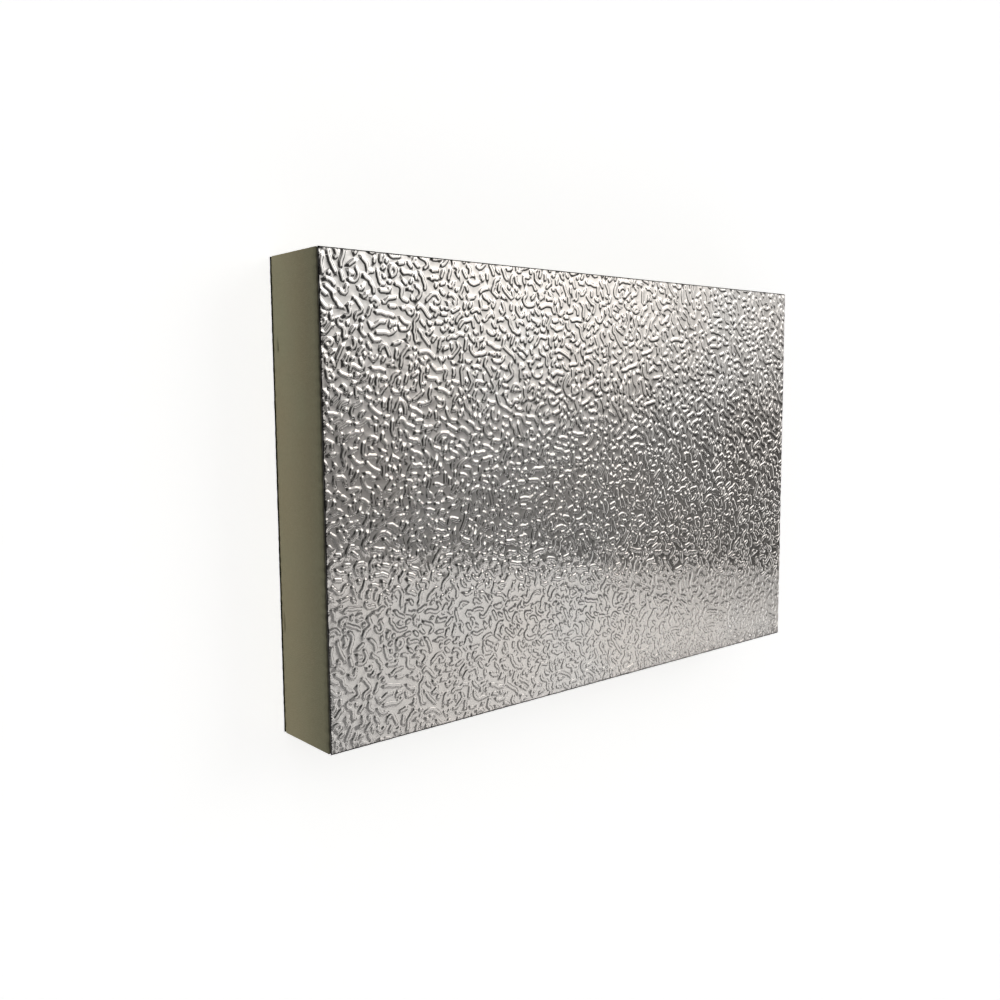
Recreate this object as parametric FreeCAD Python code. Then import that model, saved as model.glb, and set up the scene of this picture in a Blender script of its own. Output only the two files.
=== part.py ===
import FreeCAD, Part
import os

# Pre-insulated duct panel: a square-cut piece of rigid foam board, faced on both sides
# with aluminium foil. It lies flat with its front foil up. X runs along the length, Y across
# the width and Z through the thickness. The origin is at the centre of the underside.

# Driving dimensions, in millimetres
panel_length = 160.0
panel_width = 103.5
panel_thickness = 20.0    # nominal, over both foils
front_foil_gauge = 0.08
back_foil_gauge = 0.08

# Heights where the layers of the laminate meet
core_bottom = back_foil_gauge
core_top = panel_thickness - front_foil_gauge


def cut_outline(height):
    """The outline that one straight cut per edge gives to every layer, at the given height."""
    half_length = panel_length / 2
    half_width = panel_width / 2
    corners = [
        FreeCAD.Vector(-half_length, -half_width, height),
        FreeCAD.Vector(half_length, -half_width, height),
        FreeCAD.Vector(half_length, half_width, height),
        FreeCAD.Vector(-half_length, half_width, height),
    ]
    return Part.makePolygon(corners + corners[:1])


def layer(bottom, top):
    """One layer of the laminate: the cut outline extruded from its bottom to its top."""
    outline = Part.Face(cut_outline(bottom))
    return outline.extrude(FreeCAD.Vector(0, 0, top - bottom))


# The foils are bonded to the core, so each layer ends exactly where the next begins
layers = {
    "back_foil": layer(0.0, core_bottom),
    "foam_core": layer(core_bottom, core_top),
    "front_foil": layer(core_top, panel_thickness),
}

os.makedirs("parts", exist_ok=True)
for name, solid in layers.items():
    solid.exportStep(f"parts/{name}.step")
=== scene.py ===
import math

import bpy
import numpy as np
from bpy.props import FloatProperty, FloatVectorProperty, IntVectorProperty, PointerProperty
from mathutils.geometry import delaunay_2d_cdt
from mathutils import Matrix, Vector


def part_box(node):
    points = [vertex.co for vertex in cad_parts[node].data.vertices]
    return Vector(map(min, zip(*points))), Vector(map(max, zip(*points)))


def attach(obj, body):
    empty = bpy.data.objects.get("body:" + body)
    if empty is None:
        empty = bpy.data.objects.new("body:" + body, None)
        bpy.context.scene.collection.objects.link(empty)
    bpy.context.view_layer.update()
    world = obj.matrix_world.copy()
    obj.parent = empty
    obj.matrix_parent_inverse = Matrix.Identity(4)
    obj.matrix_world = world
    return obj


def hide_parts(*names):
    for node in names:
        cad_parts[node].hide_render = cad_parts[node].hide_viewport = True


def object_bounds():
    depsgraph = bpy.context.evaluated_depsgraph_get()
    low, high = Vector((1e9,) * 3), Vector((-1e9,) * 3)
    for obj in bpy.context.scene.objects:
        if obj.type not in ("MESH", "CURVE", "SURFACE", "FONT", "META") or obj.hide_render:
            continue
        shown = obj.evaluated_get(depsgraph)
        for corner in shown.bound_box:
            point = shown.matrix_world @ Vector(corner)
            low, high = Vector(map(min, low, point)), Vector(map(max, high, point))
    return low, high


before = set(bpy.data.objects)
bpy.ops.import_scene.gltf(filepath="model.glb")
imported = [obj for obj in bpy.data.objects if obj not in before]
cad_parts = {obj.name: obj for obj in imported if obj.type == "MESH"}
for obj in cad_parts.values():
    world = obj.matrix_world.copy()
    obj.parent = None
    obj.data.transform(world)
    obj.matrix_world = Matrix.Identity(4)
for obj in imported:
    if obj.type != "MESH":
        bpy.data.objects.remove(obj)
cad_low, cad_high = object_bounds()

bl_info = {
    "name": "Pre-insulated Duct Panel",
    "version": (1, 0, 0),
    "blender": (4, 5, 0),
    "location": "View3D > Sidebar > Duct Panel",
    "description": "Rigid foam board faced with stucco-embossed aluminium foil, in a small photo studio",
    "category": "Add Mesh",
}

MM = 0.001
PRESSED_WIDTH = 0.3 * MM    # of the foil's edge that a cut presses down
PRESSED_DEPTH = 0.05 * MM


# Settings that a user would change

class FoilSettings(bpy.types.PropertyGroup):
    """The embossed aluminium foils."""

    emboss_height: FloatProperty(
        name="Emboss Height", description="How far the worms stand above the foil's ground",
        default=0.11 * MM, min=0.0, precision=5, unit="LENGTH")
    worm_width: FloatProperty(
        name="Worm Width", description="Width of a worm halfway up its flanks",
        default=0.82 * MM, min=0.3 * MM, precision=5, unit="LENGTH")
    flank_width: FloatProperty(
        name="Flank Width", description="Width of the slope between a worm's back and the ground",
        default=0.42 * MM, min=0.1 * MM, precision=5, unit="LENGTH")
    worm_clearance: FloatProperty(
        name="Worm Clearance", description="Least distance between the middle lines of two worms",
        default=1.27 * MM, min=0.3 * MM, precision=5, unit="LENGTH")
    worm_length: FloatProperty(
        name="Worm Length", description="Length of the longest worms",
        default=7.0 * MM, min=1.0 * MM, precision=4, unit="LENGTH")
    roll_repeat: FloatVectorProperty(
        name="Roll Repeat", description="Lengths along and across the panel after which embossing repeats",
        size=2, default=(111.2 * MM, 79.2 * MM), precision=4, unit="LENGTH")
    roll_seeds: IntVectorProperty(
        name="Roll Seeds", description="Random starts of the front and the back embossing",
        size=2, default=(5, 11))
    metal: FloatVectorProperty(
        name="Metal", description="Colour of the bare aluminium",
        size=3, subtype="COLOR", default=(0.91, 0.885, 0.862))
    roughness: FloatProperty(
        name="Roughness", description="Roughness of the foil between its scuffs",
        default=0.08, min=0.0, max=1.0, subtype="FACTOR")
    section_spacing: FloatProperty(
        name="Section Spacing", description="Distance between the cross-sections that shape a worm",
        default=0.6 * MM, min=0.15 * MM, precision=5, unit="LENGTH")


class FoamSettings(bpy.types.PropertyGroup):
    """The rigid foam board."""

    foam: FloatVectorProperty(
        name="Foam", description="Colour of the freshly cut foam",
        size=3, subtype="COLOR", default=(0.5, 0.482, 0.315))
    cell_size: FloatProperty(
        name="Cell Size", description="Size of the cut cells that show as grain",
        default=0.3 * MM, precision=5, unit="LENGTH")
    cut_step: FloatProperty(
        name="Cut Step", description="Spacing of the grid along the cut faces",
        default=0.4 * MM, precision=5, unit="LENGTH")
    seam_recess: FloatProperty(
        name="Seam Recess", description="Depth to which the cut foam is crushed back under each foil",
        default=0.3 * MM, precision=5, unit="LENGTH")


class StageSettings(bpy.types.PropertyGroup):
    """The camera, the floor and the light."""

    camera_place: FloatVectorProperty(
        name="Camera Place", description="Where the camera stands",
        size=3, subtype="TRANSLATION", unit="LENGTH", default=(-0.18331, 0.02200, 0.19502))
    camera_turn: FloatVectorProperty(
        name="Camera Turn", description="How the camera is turned",
        size=3, subtype="EULER", unit="ROTATION",
        default=(math.radians(-5.540), math.radians(-40.620), math.radians(-0.605)))
    focal_length: FloatProperty(
        name="Focal Length", description="Focal length on a 36 mm wide sensor",
        default=35.93, subtype="DISTANCE_CAMERA", unit="CAMERA")
    floor: FloatVectorProperty(
        name="Floor", description="Colour of the floor", size=3, subtype="COLOR", default=(0.8, 0.8, 0.8))
    # The card's haze is a faint glow that the card gives off itself.
    card_glow: FloatProperty(
        name="Card Haze", description="How light the haze of the clear card by the panel's near side looks",
        default=0.12, min=0.0, max=1.0, subtype="FACTOR")
    # The louvre film's colour is the grey that it glows with by itself.
    louvre: FloatVectorProperty(
        name="Louvre", description="Colour of the louvre film that keeps parts of the room off the foil",
        size=3, subtype="COLOR", default=(0.14, 0.14, 0.14))


# Meshes from arrays

def unit_range(values, low, high):
    """Where values lie from low (0) to high (1), eased at both ends by 3t^2 - 2t^3."""
    share = np.clip((values - low) / (high - low), 0.0, 1.0)
    return share * share * (3.0 - 2.0 * share)


def mesh_from(name, points, faces):
    """A mesh from an array of points and arrays of faces, each with one number of corners."""
    mesh = bpy.data.meshes.new(name)
    corners = np.concatenate([group.ravel() for group in faces]).astype(np.int32)
    sizes = np.concatenate([np.full(len(group), group.shape[1]) for group in faces])
    starts = np.concatenate([[0], np.cumsum(sizes)[:-1]]).astype(np.int32)
    mesh.vertices.add(len(points))
    mesh.vertices.foreach_set("co", points.astype(np.float32).ravel())
    mesh.loops.add(len(corners))
    mesh.loops.foreach_set("vertex_index", corners)
    mesh.polygons.add(len(sizes))
    mesh.polygons.foreach_set("loop_start", starts)
    mesh.update(calc_edges=True)
    mesh.validate()
    return mesh


def read_numbers(items, name, width, kind):
    """One property of all a mesh's points, corners or faces, as an array with a row for each."""
    flat = np.empty(len(items) * width, kind)
    items.foreach_get(name, flat)
    return flat.reshape(-1, width)


def store(mesh, name, values):
    """Keep one number for each point under a name that a material can read."""
    attribute = mesh.attributes.new(name, "FLOAT", "POINT")
    attribute.data.foreach_set("value", values.astype(np.float32))


def smooth_below(mesh, angle):
    """Shade smoothly, apart from edges that turn by more than the angle."""
    mesh.shade_smooth()
    mesh.set_sharp_from_angle(angle=angle)


def place_piece(name, mesh, material, node):
    """Stand a finished mesh in for the node of the panel, on the panel's one body."""
    mesh.materials.append(material)
    piece = bpy.data.objects.new(name, mesh)
    bpy.context.scene.collection.objects.link(piece)
    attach(piece, "root")
    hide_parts(node)


def filtered(field, step, passing):
    """A field that comes round at its edges, with its waves scaled by a function of their frequency."""
    across = np.fft.fftfreq(field.shape[0], step)[:, None]
    along = np.fft.rfftfreq(field.shape[1], step)[None, :]
    return np.fft.irfft2(np.fft.rfft2(field) * passing(np.hypot(across, along)), s=field.shape)


def lumps(random, shape, step, size):
    """Random lumps of about one size, with a spread of 1.

    They are noise whose waves are scaled by a bell, which is highest at one wave to the size.
    """
    noise = random.standard_normal(shape)
    field = filtered(noise, step, lambda waves: np.exp(-((waves * size - 1.0) / 0.5) ** 2))
    return field / field.std()


# Embossed foils

class EmbossingRoll:
    """The pattern on an embossing roll: short winding worms and dots on a nearly flat ground.

    Places on the roll are rows and columns, in metres across and along it, and the pattern comes round at
    the edges.
    """

    step = 0.08 * MM    # from cell to cell of the roll's fields
    stride = 0.15 * MM    # from point to point of a worm's middle line

    def __init__(self, seed, settings):
        self.random = np.random.default_rng(seed)
        self.settings = settings
        along, across = settings.roll_repeat
        self.size = np.array([across, along])
        self.shape = tuple(np.round(self.size / self.step).astype(int))
        self.lines, self.headings = self.lay_worms()
        self.half_widths = settings.worm_width / 2 * self.random.uniform(0.92, 1.1, len(self.lines))
        self.heights = self.relief()
        double_step = 2 * self.step
        self.slope_y, self.slope_x = (
            (np.roll(self.heights, -1, axis) - np.roll(self.heights, 1, axis)) / double_step
            for axis in (0, 1))

    def nearby(self, radius):
        """Row and column offsets of the cells within a radius."""
        reach = math.ceil(radius / self.step)
        rows, columns = np.mgrid[-reach:reach + 1, -reach:reach + 1]
        inside = np.hypot(rows, columns) * self.step < radius
        return rows[inside], columns[inside]

    def lay_worms(self):
        """The worms' middle lines and their headings, laid one after another wherever there is room.

        At a random free place several lines start out, each turning at a rate that changes every few
        strides. The one that goes furthest before it comes within the clearance of a laid worm is kept,
        cut to a random length. Where even that one is very short, it is laid as a dot or left out.
        """
        starts = 60000
        tries = 12
        strides_per_bend = 5
        bend = 0.17
        dot_share = 0.6
        dot_strides = 2
        least_strides = 0.7 * MM / self.stride
        most_strides = int(self.settings.worm_length / self.stride)
        rows, columns = self.nearby(self.settings.worm_clearance)
        taken = np.zeros(self.shape, bool)
        lines = []
        headings = []
        for start in self.random.random((starts, 2)) * self.size:
            if taken[tuple((start / self.step).astype(int) % self.shape)]:
                continue
            bends = bend * self.random.standard_normal((tries, most_strides // strides_per_bend + 1))
            turns = np.cumsum(np.repeat(bends, strides_per_bend, axis=1)[:, :most_strides], axis=1)
            heading = self.random.uniform(0.0, 2 * math.pi, (tries, 1)) + turns
            paths = start + np.cumsum(direction(heading) * self.stride, axis=1)
            cells = np.floor(paths / self.step).astype(int) % self.shape
            blocked = taken[cells[..., 0], cells[..., 1]]
            blocked[:, -1] = True
            free = np.argmax(blocked, axis=1)
            best = np.argmax(free)
            length = int(min(free[best], self.random.uniform(0.15, 1.0) * most_strides))
            if length < least_strides and self.random.random() > dot_share:
                continue
            length = max(length, dot_strides)
            line = cells[best, :length]
            taken[(line[:, :1] + rows) % self.shape[0], (line[:, 1:] + columns) % self.shape[1]] = True
            lines.append(paths[best, :length])
            headings.append(heading[best, :length])
        return lines, headings

    def raised_share(self):
        """How far each cell stands up: 0 on the ground and 1 on a worm's back.

        A worm has a flat back, and its flanks fall as the square of a cosine does from 1 to 0. Worms differ
        a little in width and height, and where two meet the higher one counts.
        """
        lengths = [len(line) for line in self.lines]
        points = np.concatenate(self.lines)
        half_widths = np.repeat(self.half_widths, lengths)[:, None]
        backs = np.repeat(self.random.uniform(0.85, 1.0, len(lengths)), lengths)[:, None]
        flank = self.settings.flank_width
        rows, columns = self.nearby(self.half_widths.max() + flank / 2)
        cells = np.floor(points / self.step).astype(int)
        rows = cells[:, :1] + rows
        columns = cells[:, 1:] + columns
        away_row = (rows + 0.5) * self.step - points[:, :1]
        away_column = (columns + 0.5) * self.step - points[:, 1:]
        away = np.hypot(away_row, away_column)
        down = np.clip((away - half_widths) / flank + 0.5, 0.0, 1.0)
        raised = backs * np.cos(math.pi / 2 * down) ** 2
        share = np.zeros(self.shape)
        np.maximum.at(share, (rows % self.shape[0], columns % self.shape[1]), raised)
        return share

    def relief(self):
        """Heights of the foil's outer side, all at or below its highest worm, which is at 0.

        The worms are softened by a narrow bell, and the ground sways a little between them.
        """
        softness = 0.05 * MM
        sway_size = 9 * MM
        sway_height = 0.003 * MM
        bell = 2 * (math.pi * softness) ** 2
        share = filtered(self.raised_share(), self.step, lambda waves: np.exp(-bell * waves ** 2))
        heights = self.settings.emboss_height * share
        heights += sway_height * lumps(self.random, self.shape, self.step, sway_size)
        return heights - heights.max()

    def at(self, field, places):
        """A field of the roll at rows and columns, read between the cells."""
        row, column = np.moveaxis(places / self.step - 0.5, -1, 0)
        left = np.floor(column).astype(int)
        below = np.floor(row).astype(int)
        right_share = column - left
        above_share = row - below

        def along_row(number):
            first = field[number % self.shape[0], left % self.shape[1]]
            second = field[number % self.shape[0], (left + 1) % self.shape[1]]
            return first + right_share * (second - first)

        lower = along_row(below)
        return lower + above_share * (along_row(below + 1) - lower)

    def feature_points(self):
        """Places that carry the relief: along each worm the edges of its back, its flanks and its feet.

        Cross-sections stand every few strides along a worm and at its two ends, where flanks and feet go
        round. Back edges and feet lie a little way off the flank, where the foil is flat.
        """
        strides = round(self.settings.section_spacing / self.stride)
        stops = [
            np.unique(np.append(np.arange(0, len(line), strides), len(line) - 1)) for line in self.lines]
        counts = [len(stop) for stop in stops]
        middles = np.concatenate([line[stop] for line, stop in zip(self.lines, stops)])
        heading = np.concatenate([heading[stop] for heading, stop in zip(self.headings, stops)])
        half = np.repeat(self.half_widths, counts)[:, None]
        ends = np.concatenate([[line[0] for line in self.lines], [line[-1] for line in self.lines]])
        out = np.concatenate(
            [[turn[0] + math.pi for turn in self.headings], [turn[-1] for turn in self.headings]])
        end_half = np.tile(self.half_widths, 2)[:, None]
        right_angle = math.pi / 2
        off = 0.6 * self.settings.flank_width
        back_edge = (-off, ())
        flank = (0.0, (-0.5, 0.0, 0.5))
        foot = (off, (-0.5, 0.5))
        rows = []
        for shift, end_turns in (back_edge, flank, foot):
            row = []
            for turn in (-right_angle, right_angle):
                row.append(middles + (half + shift) * direction(heading + turn))
            for turn in end_turns:
                row.append(ends + (end_half + shift) * direction(out + turn * right_angle))
            rows.append(np.concatenate(row))
        return rows

    def points_over(self, size):
        """The feature points of the roll's repeats over a rectangle of that size, apart from crowded ones.

        Flanks and feet that lie on another worm are left out, and then all but one of those that share a
        small cell.
        """
        back_edges, flanks, feet = self.feature_points()
        flank_share = 1.0 - self.at(self.heights, flanks) / self.heights.min()
        foot_share = 1.0 - self.at(self.heights, feet) / self.heights.min()
        highest_flank = 0.75
        highest_foot = 0.4
        clear_flanks = flanks[flank_share < highest_flank]
        clear_feet = feet[foot_share < highest_foot]
        points = np.concatenate([back_edges, clear_flanks, clear_feet]) % self.size
        repeats = np.ceil(size / self.size).astype(int)
        moves = np.stack(np.meshgrid(*(np.arange(count) for count in repeats), indexing="ij"), axis=-1)
        points = (points + moves.reshape(-1, 1, 2) * self.size).reshape(-1, 2)
        margin = PRESSED_WIDTH + 0.1 * MM
        points = points[np.all((points > margin) & (points < size - margin), axis=1)]
        cell = 0.18 * MM
        for shift in (0.0, 0.5):
            cells = np.floor(points / cell + shift).astype(int)
            first = np.unique(cells, axis=0, return_index=True)[1]
            points = points[np.sort(first)]
        return points


def direction(heading):
    """The row and column parts of a step of length 1 along a heading."""
    return np.stack([np.sin(heading), np.cos(heading)], axis=-1)


def pressed_edge(flat, low, high):
    """How far the cut has pressed the foil's edge down, and the slope of that in x and y.

    The depth is a parabola of the distance from the nearest edge.
    """
    from_low = flat - low[:2]
    from_high = high[:2] - flat
    distances = np.concatenate([from_low, from_high], axis=1)
    nearest = np.argmin(distances, axis=1)
    share = np.clip(1.0 - distances.min(axis=1) / PRESSED_WIDTH, 0.0, 1.0)
    rises = np.array([[-1.0, 0.0], [0.0, -1.0], [1.0, 0.0], [0.0, 1.0]])[nearest]
    slope = 2 * PRESSED_DEPTH / PRESSED_WIDTH * share[:, None] * rises
    return PRESSED_DEPTH * share ** 2, slope


def foil_mesh(name, low, high, underside, roll):
    """One embossed foil, outer side up at height 0, as a closed sheet over a rectangle.

    The top is a net of triangles between the roll's feature points and points round the border, all at the
    roll's height. Its border drops to the flat underside, which is a fan of triangles.
    """
    spacing = roll.settings.section_spacing
    border = cut_edge_loop(low, high, spacing)[0]
    inset = PRESSED_WIDTH * np.array([1.0, 1.0, 0.0])
    bands = [cut_edge_loop(low + share * inset, high - share * inset, spacing)[0] for share in (0.5, 1.0)]
    inner = roll.points_over((high - low)[1::-1])[:, ::-1] + low[:2]
    flat = np.concatenate([border, *bands, inner])
    same_point = 1e-6
    net = np.array(delaunay_2d_cdt((flat / MM).tolist(), [], [], 0, same_point, False)[2])
    pressed = pressed_edge(flat, low, high)[0]
    heights = roll.at(roll.heights, (flat - low[:2])[:, ::-1]) - pressed
    top = np.concatenate([flat, heights[:, None]], axis=1)

    count = len(border)
    under = top[:count].copy()
    under[:, 2] = underside
    middle = np.array([[(low[0] + high[0]) / 2, (low[1] + high[1]) / 2, underside]])
    rim = np.arange(count)
    under_rim = len(top) + rim
    walls = np.stack([np.roll(rim, -1), rim, under_rim, np.roll(under_rim, -1)], axis=-1)
    fan = np.stack([np.roll(under_rim, -1), under_rim, np.full(count, len(top) + count)], axis=-1)
    mesh = mesh_from(name, np.concatenate([top, under, middle]), [net, walls, fan])
    pressed_share = np.sqrt(pressed / PRESSED_DEPTH)
    # The cut share also marks where the foil is painted dark, as painted shade: its pressed edges, walls
    # and underside.
    store(mesh, "cut", np.concatenate([pressed_share, np.ones(count + 1)]))
    return mesh


def shade_relief(mesh, roll, low, high, side):
    """Shade the relief by its own slopes, which are finer than the mesh, and the walls as they are."""
    smooth_below(mesh, math.radians(60))
    points = read_numbers(mesh.vertices, "co", 3, np.float32).astype(float)
    corners = points[read_numbers(mesh.loops, "vertex_index", 1, np.int32).ravel()]
    sizes = read_numbers(mesh.polygons, "loop_total", 1, np.int32).ravel()
    facing = read_numbers(mesh.polygons, "normal", 3, np.float32)[:, 2] * side
    on_relief = np.repeat(facing > 0.5, sizes)
    places = (corners[:, :2] - low[:2])[:, ::-1]
    slopes = np.stack([roll.at(roll.slope_x, places), roll.at(roll.slope_y, places)], axis=-1)
    slopes -= pressed_edge(corners[:, :2], low, high)[1]
    normals = np.concatenate([-slopes, np.full((len(places), 1), side)], axis=1)
    normals /= np.linalg.norm(normals, axis=1, keepdims=True)
    mesh.normals_split_custom_set(np.where(on_relief[:, None], normals, 0.0))


# Foam board

def cut_edge_loop(low, high, step):
    """Points round the board's outline and the way out of it at each, with both ways added at a corner."""
    corners = np.array([[low[0], low[1]], [high[0], low[1]], [high[0], high[1]], [low[0], high[1]]])
    ways = np.array([[0.0, -1.0], [1.0, 0.0], [0.0, 1.0], [-1.0, 0.0]])
    points = []
    outward = []
    for side in range(4):
        start, end = corners[side], corners[(side + 1) % 4]
        count = round(float(np.linalg.norm(end - start)) / step)
        along = np.arange(count)[:, None] / count
        points.append(start + along * (end - start))
        way = np.tile(ways[side], (count, 1))
        way[0] += ways[side - 1]
        outward.append(way)
    return np.concatenate(points), np.concatenate(outward)


def nick_share(outline, heights, top, bottom, height):
    """How much a knife slip on the left end shows: a bell across it, and deepest near its lower end."""
    half_width = 0.3 * MM
    fade_in = unit_range(outline[:, 1], bottom - 0.4 * MM, bottom + 0.6 * MM)
    fade_out = 1.0 - unit_range(outline[:, 1], bottom + 0.3 * (top - bottom), top + 0.3 * MM)
    on_left_end = outline[:, 0] < 0.9 * outline[:, 0].min()
    across = np.exp(-(((heights - height) / half_width) ** 2))
    return across[:, None] * (fade_in * fade_out * on_left_end)[None, :]


def foam_mesh(name, low, high, settings):
    """The foam board: its outline carried up through its thickness, pulled in by the marks of the cut.

    The rows crowd towards the foils as a cosine does. The marks are pits, which are the crests of
    millimetre lumps, plus faint streaks along the cut, plus two knife slips. The ragged recess that the
    blade crushes under each foil takes their place where it is deeper.
    """
    outline, outward = cut_edge_loop(low, high, settings.cut_step)
    thickness = high[2] - low[2]
    row_count = 68
    heights = thickness * (0.5 - 0.5 * np.cos(np.linspace(0.0, math.pi, row_count)))
    shape = (row_count, len(outline))

    cut_seed = 23
    pit_depth = 0.05 * MM
    pit_size = 1.1 * MM
    streak_depth = 0.012 * MM
    rag_share = 0.1
    rag_size = 2.5 * MM
    nick_depth = 0.35 * MM
    random = np.random.default_rng(cut_seed)
    pits = pit_depth * unit_range(lumps(random, shape, settings.cut_step, pit_size), 1.0, 3.0)
    streaks = streak_depth * random.random(row_count)[:, None]
    rag = 1.0 + rag_share * lumps(random, (2, len(outline)), settings.cut_step, rag_size)
    under_front = (thickness - heights[:, None]) / rag[:1]
    over_back = heights[:, None] / rag[1:]
    near_seam = np.minimum(under_front, over_back)
    recess = settings.seam_recess * (1.0 - unit_range(near_seam, 0.3 * MM, 0.8 * MM))
    levels = low[2] + heights
    far_slip = nick_share(outline, levels, top=35.4 * MM, bottom=31.7 * MM, height=2.3 * MM)
    near_slip = nick_share(outline, levels, top=-23.5 * MM, bottom=-28.9 * MM, height=1.6 * MM)
    nicks = np.maximum(far_slip, near_slip)
    depth = np.maximum(recess, pits + streaks + nick_depth * nicks)
    points = np.empty(shape + (3,))
    points[..., :2] = outline[None, :, :] - depth[..., None] * outward[None, :, :]
    points[..., 2] = levels[:, None]

    numbers = np.arange(shape[0] * shape[1]).reshape(shape)
    following = np.roll(numbers, -1, axis=1)
    walls = np.stack([numbers[:-1], following[:-1], following[1:], numbers[1:]], axis=-1).reshape(-1, 4)
    middle = (low + high) / 2
    ends = np.array([[middle[0], middle[1], low[2]], [middle[0], middle[1], high[2]]])
    bottom_centre = np.full(shape[1], numbers.size)
    floor = np.stack([following[0], numbers[0], bottom_centre], axis=-1)
    lid = np.stack([numbers[-1], following[-1], bottom_centre + 1], axis=-1)
    mesh = mesh_from(name, np.concatenate([points.reshape(-1, 3), ends]), [walls, floor, lid])

    # Painted shade on the cut faces: dark lines in the recesses under both foils, a broader darkening
    # towards the front foil, and dark knife slips.
    near_front = 1.0 - unit_range(under_front, 0.35 * MM, 0.95 * MM)
    towards_front = 1.0 - unit_range(under_front, 0.7 * MM, 2.6 * MM)
    front_seam_shade = 0.75 * near_front + 0.25 * towards_front
    back_seam_shade = 0.5 * (1.0 - unit_range(over_back, 0.2 * MM, 0.7 * MM))
    painted_shade = np.maximum(0.75 * nicks, np.maximum(front_seam_shade, back_seam_shade))
    store(mesh, "painted_shade", np.concatenate([painted_shade.ravel(), [0.0, 0.0]]))
    return mesh


# Shaders as expressions

class Wire:
    """A value in a shader, whose arithmetic adds Math nodes."""

    def __init__(self, shader, socket):
        self.shader = shader
        self.socket = socket

    def __add__(self, other):
        return self.shader.math("ADD", self, other)

    def __sub__(self, other):
        return self.shader.math("SUBTRACT", self, other)

    def __rsub__(self, other):
        return self.shader.math("SUBTRACT", other, self)

    def __mul__(self, other):
        return self.shader.math("MULTIPLY", self, other)

    __radd__ = __add__
    __rmul__ = __mul__


class Shader:
    """A node tree that is written as Python expressions."""

    def __init__(self, tree):
        self.tree = tree
        tree.nodes.clear()

    def node(self, kind, settings, sockets):
        """A node of that kind, with its settings made first, then its sockets given values or wires."""
        node = self.tree.nodes.new(kind)
        for name, value in settings.items():
            setattr(node, name, value)
        for key, value in sockets.items():
            if isinstance(value, Wire):
                self.tree.links.new(value.socket, node.inputs[key])
            else:
                node.inputs[key].default_value = value
        return node

    def wire(self, node, output):
        """One output of a node, ready for arithmetic."""
        return Wire(self, node.outputs[output])

    def math(self, operation, *values):
        """A Math node on wires or numbers."""
        node = self.node("ShaderNodeMath", {"operation": operation}, dict(enumerate(values)))
        return self.wire(node, 0)

    def eased(self, value, low, high):
        """How far the value is from low (0) to high (1), eased at both ends."""
        sockets = {"Value": value, "From Min": low, "From Max": high}
        return self.wire(self.node("ShaderNodeMapRange", {"interpolation_type": "SMOOTHSTEP"}, sockets), 0)

    def noise(self, place, size, detail):
        """Smooth noise about 0.5, whose lumps are about the given size."""
        sockets = {"Vector": place, "Scale": 1.0 / size, "Detail": detail}
        return self.wire(self.node("ShaderNodeTexNoise", {}, sockets), "Fac")

    def colours(self, share, first, second):
        """The first colour blended into the second by a share."""
        node = self.node("ShaderNodeMix", {"data_type": "RGBA"}, {0: share, 6: first, 7: second})
        return self.wire(node, 2)

    def tinted(self, colour, share):
        """A colour made darker by multiplying it with a grey share."""
        node = self.node("ShaderNodeMix", {"data_type": "RGBA", "blend_type": "MULTIPLY"},
                         {0: 1.0, 6: colour, 7: self.grey(share)})
        return self.wire(node, 2)

    def grey(self, share):
        """A share as a grey colour."""
        node = self.node("ShaderNodeCombineColor", {}, {"Red": share, "Green": share, "Blue": share})
        return self.wire(node, 0)

    def bump(self, height, depth, strength):
        """The surface's direction on bumps of that depth."""
        sockets = {"Height": height, "Distance": depth, "Strength": strength}
        return self.wire(self.node("ShaderNodeBump", {}, sockets), 0)

    def object_place(self):
        """The place on the piece, in metres of the panel's frame."""
        return self.wire(self.node("ShaderNodeTexCoord", {}, {}), "Object")

    def parts(self, vector):
        """The three parts of a vector."""
        node = self.node("ShaderNodeSeparateXYZ", {}, {"Vector": vector})
        return [self.wire(node, axis) for axis in "XYZ"]

    def stretched(self, place, scale):
        """The place with each direction scaled, so that a pattern is drawn out where the scale is small."""
        return self.wire(self.node("ShaderNodeMapping", {}, {"Vector": place, "Scale": scale}), 0)

    def attribute(self, name):
        """The number that the mesh stores under that name."""
        return self.wire(self.node("ShaderNodeAttribute", {"attribute_name": name}, {}), "Fac")


def new_shader(name):
    """A new material and its shader."""
    material = bpy.data.materials.new(name)
    material.use_nodes = True
    return material, Shader(material.node_tree)


def surface_from(shader, sockets):
    """End a material in one Principled surface."""
    surface = shader.node("ShaderNodeBsdfPrincipled", {}, sockets)
    shader.node("ShaderNodeOutputMaterial", {}, {"Surface": shader.wire(surface, 0)})


def opaque(colour):
    """A colour with full alpha, as sockets take it."""
    return (*colour, 1.0)


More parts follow.
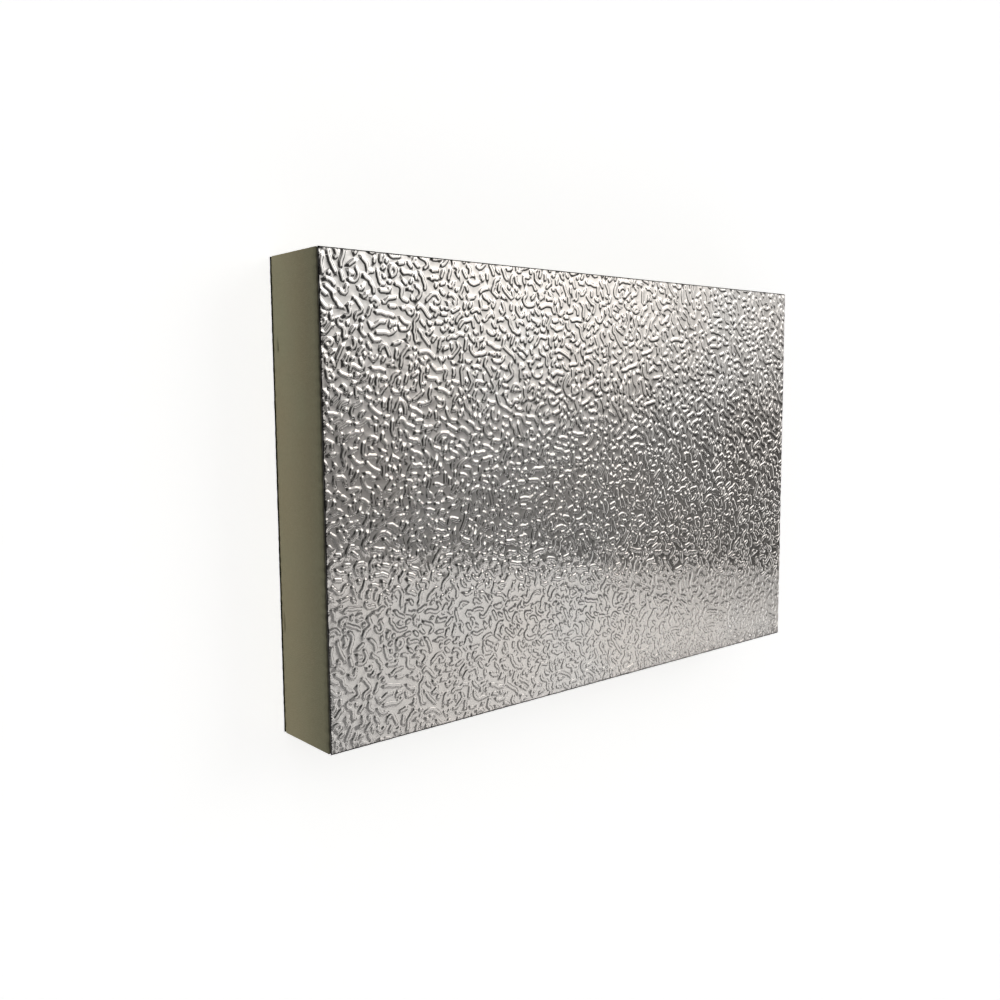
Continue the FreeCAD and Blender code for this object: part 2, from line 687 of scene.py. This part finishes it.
def foil_material(settings):
    """Bare aluminium foil: neutral metal with faint warm patches, rolling grain and soft scuffs.

    Its edges are painted dark, as painted shade, where the cut pressed them, and less so at the right end.
    """
    patch_size = 35 * MM
    scuff_size = 6 * MM
    grain_size = 0.25 * MM
    ripple_size = 1.8 * MM
    bump_depth = 0.008 * MM
    material, shader = new_shader("embossed_foil")
    place = shader.object_place()
    warm = [share * factor for share, factor in zip(settings.metal, (1.02, 0.995, 0.975))]
    patches = shader.eased(shader.noise(place, patch_size, 2.0), 0.35, 0.65)
    colour = shader.colours(patches, opaque(settings.metal), opaque(warm))
    right_end = cad_high[0]
    # Painted shade: the pressed edges are darkened almost to black, less so at the right end.
    less_shade_at_right_end = shader.eased(shader.parts(place)[0], right_end - 0.5 * MM, right_end - PRESSED_WIDTH)
    painted_edge_shade = shader.eased(shader.attribute("cut"), 0.0, 0.4) * (1.0 - 0.7 * less_shade_at_right_end)
    colour = shader.tinted(colour, 1.0 - 0.92 * painted_edge_shade)
    scuffs = shader.eased(shader.noise(place, scuff_size, 3.0), 0.4, 0.75)
    roughness = settings.roughness + 0.05 * scuffs
    grain = shader.noise(shader.stretched(place, (0.12, 1.0, 1.0)), grain_size, 2.0)
    ripples = shader.noise(place, ripple_size, 1.0)
    normal = shader.bump(ripples * 0.85 + grain * 0.15, bump_depth, 1.0)
    surface_from(shader, {"Base Color": colour, "Metallic": 1.0, "Roughness": roughness, "Normal": normal})
    return material


def foam_material(settings):
    """Cut rigid foam: olive beige with browner clouds, fine cells, and painted shade in its seams and knife
    slips.

    It is painted a little darker towards the front foil, as painted shade.
    """
    cloud_size = 22 * MM
    speckle_size = 0.7 * MM
    cell_depth = 0.08 * MM
    material, shader = new_shader("cut_foam")
    place = shader.object_place()
    height = shader.parts(place)[2]
    brown = [share * factor for share, factor in zip(settings.foam, (1.02, 0.95, 0.94))]
    away_from_front = 1.0 - shader.eased(height, 13 * MM, 20 * MM)
    clouds = shader.eased(shader.noise(place, cloud_size, 3.0), 0.32, 0.62) * away_from_front
    colour = shader.colours(clouds, opaque(settings.foam), opaque(brown))
    voronoi = shader.node("ShaderNodeTexVoronoi", {}, {"Vector": place, "Scale": 1 / settings.cell_size})
    cells = shader.wire(voronoi, "Distance")
    speckle = shader.noise(place, speckle_size, 2.0)
    # Painted shade: the cut faces grow darker towards the front foil; cells and speckle add grain.
    painted_front_shade = shader.eased(height, 0.0, 24 * MM)
    shade = 1.0 - 0.5 * painted_front_shade + 0.08 * (cells - 0.5) + 0.12 * (speckle - 0.5)
    # Painted shade along the seams under the foils and in the knife slips, stored on the mesh.
    painted_shade = shader.attribute("painted_shade")
    colour = shader.tinted(colour, shade * (1.0 - 0.93 * painted_shade))
    normal = shader.bump(cells, cell_depth, 0.5)
    surface_from(
        shader, {"Base Color": colour, "Roughness": 0.92, "Specular IOR Level": 0.3, "Normal": normal})
    return material


# Stage

def floor_mesh(name):
    """The floor: a flat disc whose rim curves up as a backdrop, by carrying that profile round a circle."""
    flat_radius = 0.8
    rim_radius = 1.8
    full_rise = 0.7
    full_rise_radius = 2.1
    turns = np.linspace(0.0, 2 * math.pi, 96, endpoint=False)
    reach = np.concatenate([np.linspace(0.02, flat_radius, 12), np.linspace(0.85, rim_radius, 24)])
    rise = full_rise * unit_range(reach, flat_radius, full_rise_radius)
    points = np.empty((len(reach), len(turns), 3))
    points[..., 0] = reach[:, None] * np.cos(turns)
    points[..., 1] = reach[:, None] * np.sin(turns)
    points[..., 2] = rise[:, None]
    numbers = np.arange(points.shape[0] * points.shape[1]).reshape(points.shape[:2])
    following = np.roll(numbers, -1, axis=1)
    bands = np.stack([numbers[:-1], numbers[1:], following[1:], following[:-1]], axis=-1).reshape(-1, 4)
    centre = np.full(len(turns), numbers.size)
    middle = np.stack([numbers[0], following[0], centre], axis=-1)
    mesh = mesh_from(name, np.concatenate([points.reshape(-1, 3), [[0.0, 0.0, 0.0]]]), [bands, middle])
    mesh.shade_smooth()
    return mesh


def floor_material(settings):
    """A pale floor that the camera and mirrors see as white, apart from what shadow it holds."""
    material, shader = new_shader("studio_floor")
    seen = shader.node("ShaderNodeLightPath", {}, {})
    rays = [shader.wire(seen, name) for name in ("Is Camera Ray", "Is Glossy Ray", "Is Transmission Ray")]
    lift = shader.math("MINIMUM", rays[0] + rays[1] + rays[2], 1.0) * 0.7
    matt = shader.wire(shader.node("ShaderNodeBsdfDiffuse", {}, {"Color": opaque(settings.floor)}), 0)
    bright = shader.wire(shader.node("ShaderNodeEmission", {}, {"Strength": lift}), 0)
    added = shader.node("ShaderNodeAddShader", {}, {0: matt, 1: bright})
    shader.node("ShaderNodeOutputMaterial", {}, {"Surface": shader.wire(added, 0)})
    return material


def sheen_card_mesh(name):
    """The clear card: an upright triangle off the panel's near side, from the front face's height up."""
    near = cad_low[1] - 0.75 * MM
    foot = cad_high[2]
    left = -0.12
    right = 0.234
    peak = foot + 0.408
    points = np.array([[left, near, foot], [right, near, foot], [left, near, peak]])
    return mesh_from(name, points, [np.array([[2, 1, 0]])])


def louvre_mesh(name):
    """The louvre film: a strip that stands out over the front face, and covers less near two of its edges.

    It lies along the lines by which the camera sees the card's far edge mirrored in the flat foil. So it
    keeps the worms' lower flanks above that edge, and their upper flanks below it, from mirroring much
    light.
    """
    lower_left, lower_right = [-0.103, -0.012, 0.032], [0.110, -0.034, 0.026]
    upper_left, upper_right = [-0.075, -0.023, 0.085], [0.164, -0.044, 0.057]
    lower = np.array([lower_left, lower_right])
    upper = np.array([upper_left, upper_right])
    shares = np.array([0.0, 0.2, 0.75, 1.0])
    points = lower + shares[:, None, None] * (upper - lower)
    first = 2 * np.arange(len(shares) - 1)[:, None]
    mesh = mesh_from(name, points.reshape(-1, 3), [first + [0, 1, 3, 2]])
    store(mesh, "cover", np.repeat([0.0, 1.0, 1.0, 0.0], 2))
    return mesh


def louvre_material(settings):
    """Louvre film: a faint grey glow of its own to slanting light, and clear to light that meets it
    squarely or flatly.
    """
    material, shader = new_shader("louvre_film")
    facing = shader.wire(shader.node("ShaderNodeLayerWeight", {}, {"Blend": 0.5}), "Facing")
    slanting = shader.eased(facing, 0.48, 0.58) * (1.0 - shader.eased(facing, 0.8, 0.88))
    clear = shader.wire(shader.node("ShaderNodeBsdfTransparent", {}, {}), 0)
    # The slats glow grey by themselves instead of being lit.
    slat_glow = shader.wire(shader.node("ShaderNodeEmission", {}, {"Color": opaque(settings.louvre)}), 0)
    share = slanting * shader.attribute("cover")
    film = shader.node("ShaderNodeMixShader", {}, {0: share, 1: clear, 2: slat_glow})
    shader.node("ShaderNodeOutputMaterial", {}, {"Surface": shader.wire(film, 0)})
    return material


def sheen_card_material(settings):
    """A clear sheet, which throws the room's bright side back where it is seen flatly.

    It glows faintly grey by itself, as painted haze, more so to the right, and throws less light back at
    its far right.
    """
    material, shader = new_shader("sheen_card")
    facing = shader.wire(shader.node("ShaderNodeLayerWeight", {}, {"Blend": 0.5}), "Facing")
    along = shader.parts(shader.object_place())[0]
    flatly = 0.4 * shader.eased(facing, 0.45, 0.72) * (1.0 - 0.4 * shader.eased(along, 0.06, 0.15))
    clear = shader.wire(shader.node("ShaderNodeBsdfTransparent", {}, {}), 0)
    gloss = shader.wire(shader.node("ShaderNodeBsdfGlossy", {}, {"Roughness": 0.1}), 0)
    sheet = shader.wire(shader.node("ShaderNodeMixShader", {}, {0: flatly, 1: clear, 2: gloss}), 0)
    # Painted haze: the card glows by itself, brighter to the right.
    colour = shader.grey(settings.card_glow * (1.0 + 0.4 * shader.eased(along, 0.0, 0.12)))
    haze_glow = shader.wire(shader.node("ShaderNodeEmission", {}, {"Color": colour}), 0)
    added = shader.node("ShaderNodeAddShader", {}, {0: sheet, 1: haze_glow})
    shader.node("ShaderNodeOutputMaterial", {}, {"Surface": shader.wire(added, 0)})
    return material


def studio_world():
    """The studio's surroundings: a dim room with soft-edged areas of light.

    A direction is told by its rise, the angle towards +Y, and its swing, the angle from +Z towards +X, in
    degrees. Each area is an eased window in rise times an eased window in swing, and the areas add up.
    """
    world = bpy.data.worlds.new("studio")
    world.use_nodes = True
    shader = Shader(world.node_tree)
    x, y, z = shader.parts(shader.wire(shader.node("ShaderNodeTexCoord", {}, {}), "Generated"))
    degrees = 180 / math.pi
    rise = shader.math("ARCSINE", y) * degrees
    swing = shader.math("ARCTAN2", x, z) * degrees

    def area(rises, swings, strength):
        low_rise = shader.eased(rise, *rises[0])
        high_rise = 1.0 - shader.eased(rise, *rises[1])
        low_swing = shader.eased(swing, *swings[0])
        high_swing = 1.0 - shader.eased(swing, *swings[1])
        return low_rise * high_rise * low_swing * high_swing * strength

    from_nadir = (-91, -90)
    to_zenith = (90, 91)
    from_behind = (-181, -180)
    to_behind = (181, 182)
    every_rise = (from_nadir, to_zenith)
    all_round = (from_behind, to_behind)
    dim_room = 0.03
    wall = area(((-12, -6), (50, 70)), ((18, 30), (44, 70)), 0.13)
    left_pane = area(((-5.5, 6.5), (30, 55)), ((26, 33), (44, 52)), 0.5)
    right_pane = area(((-3, 6.5), (30, 55)), ((44, 52), (57, 64)), 0.5)
    both_panes = area(((5, 14), (24, 44)), ((26, 33), (57, 64)), 0.82)
    between_panes = area(((-4, 5), (20, 30)), ((34, 45), (45, 57)), 0.34)
    left_sill = area(((-14, -8), (6, 20)), ((24, 31), (36, 50)), 0.06)
    underneath = area((from_nadir, (-62, -44)), all_round, 0.5)
    low_ahead = area(((-58, -48), (-42, -32)), ((8, 20), (62, 76)), 0.35)
    overhead = area(((58, 76), to_zenith), all_round, 0.3)
    low_right = area((from_nadir, (-38, -22)), ((74, 88), to_behind), 0.5)
    left_room = area(every_rise, (from_behind, (-82, -60)), 0.23)
    left_lamp = area(((-60, -40), (40, 60)), ((-75, -62), (-46, -32)), 0.71)
    high_front = area(((8, 28), (58, 76)), ((-45, -25), (18, 30)), 0.4)
    left_front = area(every_rise, ((-45, -25), (-25, -2)), 0.4)
    light = dim_room + wall + left_pane + right_pane + both_panes + between_panes + left_sill
    light = light + underneath + low_ahead + overhead + low_right
    light = light + left_room + left_lamp + high_front + left_front
    warm_white = (1.0, 0.99, 0.97, 1.0)
    background = shader.node("ShaderNodeBackground", {}, {"Color": warm_white, "Strength": light})
    shader.node("ShaderNodeOutputWorld", {}, {"Surface": shader.wire(background, 0)})
    return world


def place_on_stage(name, mesh, material):
    """Put a finished mesh into the studio, apart from the panel."""
    mesh.materials.append(material)
    prop = bpy.data.objects.new(name, mesh)
    bpy.context.scene.collection.objects.link(prop)
    return prop


# Operators

class DUCTPANEL_OT_foils(bpy.types.Operator):
    """Make the front and back foils, embossed by the same kind of roll"""

    bl_idname = "duct_panel.foils"
    bl_label = "Embossed Foils"

    def execute(self, context):
        settings = context.scene.duct_panel_foil
        material = foil_material(settings)
        front_seed, back_seed = settings.roll_seeds
        for node, seed, side in (("front_foil", front_seed, 1.0), ("back_foil", back_seed, -1.0)):
            low, high = (np.array(corner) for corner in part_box(node))
            outer = high[2] if side > 0 else low[2]
            underside = -settings.emboss_height - (high[2] - low[2])
            roll = EmbossingRoll(seed, settings)
            mesh = foil_mesh(f"{node}_sheet", low, high, underside, roll)
            points = read_numbers(mesh.vertices, "co", 3, np.float32).astype(float)
            points[:, 2] = outer + side * points[:, 2]
            mesh.vertices.foreach_set("co", points.astype(np.float32).ravel())
            if side < 0:
                mesh.flip_normals()
            mesh.update()
            shade_relief(mesh, roll, low, high, side)
            place_piece(f"{node}_embossed", mesh, material, node)
        return {"FINISHED"}


class DUCTPANEL_OT_foam_core(bpy.types.Operator):
    """Make the foam board between the foils, with its cut faces"""

    bl_idname = "duct_panel.foam_core"
    bl_label = "Foam Core"

    def execute(self, context):
        settings = context.scene.duct_panel_foam
        relief = context.scene.duct_panel_foil.emboss_height
        low, high = (np.array(corner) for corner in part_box("foam_core"))
        low[2] += relief
        high[2] -= relief
        mesh = foam_mesh("foam_core_cut", low, high, settings)
        smooth_below(mesh, math.radians(50))
        place_piece("foam_core_board", mesh, foam_material(settings), "foam_core")
        return {"FINISHED"}


class DUCTPANEL_OT_stage(bpy.types.Operator):
    """Make the floor, the light and the camera"""

    bl_idname = "duct_panel.stage"
    bl_label = "Studio"

    def execute(self, context):
        settings = context.scene.duct_panel_stage
        scene = context.scene
        place_on_stage("studio_floor", floor_mesh("studio_floor"), floor_material(settings))
        card = place_on_stage("sheen_card", sheen_card_mesh("sheen_card"), sheen_card_material(settings))
        louvre = place_on_stage("louvre_film", louvre_mesh("louvre_film"), louvre_material(settings))
        for prop in (card, louvre):
            prop.visible_camera = False
            prop.visible_diffuse = False
            prop.visible_shadow = False
        scene.world = studio_world()

        lens = bpy.data.cameras.new("camera")
        lens.sensor_width = 36.0
        lens.lens = settings.focal_length
        lens.clip_start = 0.005
        camera = bpy.data.objects.new("camera", lens)
        camera.location = settings.camera_place
        camera.rotation_euler = settings.camera_turn
        scene.collection.objects.link(camera)
        scene.camera = camera
        scene.view_settings.view_transform = "Standard"
        return {"FINISHED"}


class DUCTPANEL_PT_sidebar(bpy.types.Panel):
    """Lists the panel's pieces and their settings"""

    bl_idname = "DUCTPANEL_PT_sidebar"
    bl_label = "Duct Panel"
    bl_space_type = "VIEW_3D"
    bl_region_type = "UI"
    bl_category = "Duct Panel"

    def draw(self, context):
        groups = (
            ("duct_panel.foils", context.scene.duct_panel_foil),
            ("duct_panel.foam_core", context.scene.duct_panel_foam),
            ("duct_panel.stage", context.scene.duct_panel_stage),
        )
        for operator, settings in groups:
            box = self.layout.box()
            box.operator(operator)
            for name in settings.__annotations__:
                box.prop(settings, name)


CLASSES = (
    FoilSettings,
    FoamSettings,
    StageSettings,
    DUCTPANEL_OT_foils,
    DUCTPANEL_OT_foam_core,
    DUCTPANEL_OT_stage,
    DUCTPANEL_PT_sidebar,
)


def register():
    """Add the classes and hang the settings on the scene."""
    for item in CLASSES:
        bpy.utils.register_class(item)
    bpy.types.Scene.duct_panel_foil = PointerProperty(type=FoilSettings)
    bpy.types.Scene.duct_panel_foam = PointerProperty(type=FoamSettings)
    bpy.types.Scene.duct_panel_stage = PointerProperty(type=StageSettings)


def unregister():
    """Take the settings and the classes away again."""
    del bpy.types.Scene.duct_panel_stage
    del bpy.types.Scene.duct_panel_foam
    del bpy.types.Scene.duct_panel_foil
    for item in reversed(CLASSES):
        bpy.utils.unregister_class(item)


def main():
    register()
    bpy.ops.duct_panel.foam_core()
    bpy.ops.duct_panel.foils()
    bpy.ops.duct_panel.stage()


if __name__ == "__main__":
    main()
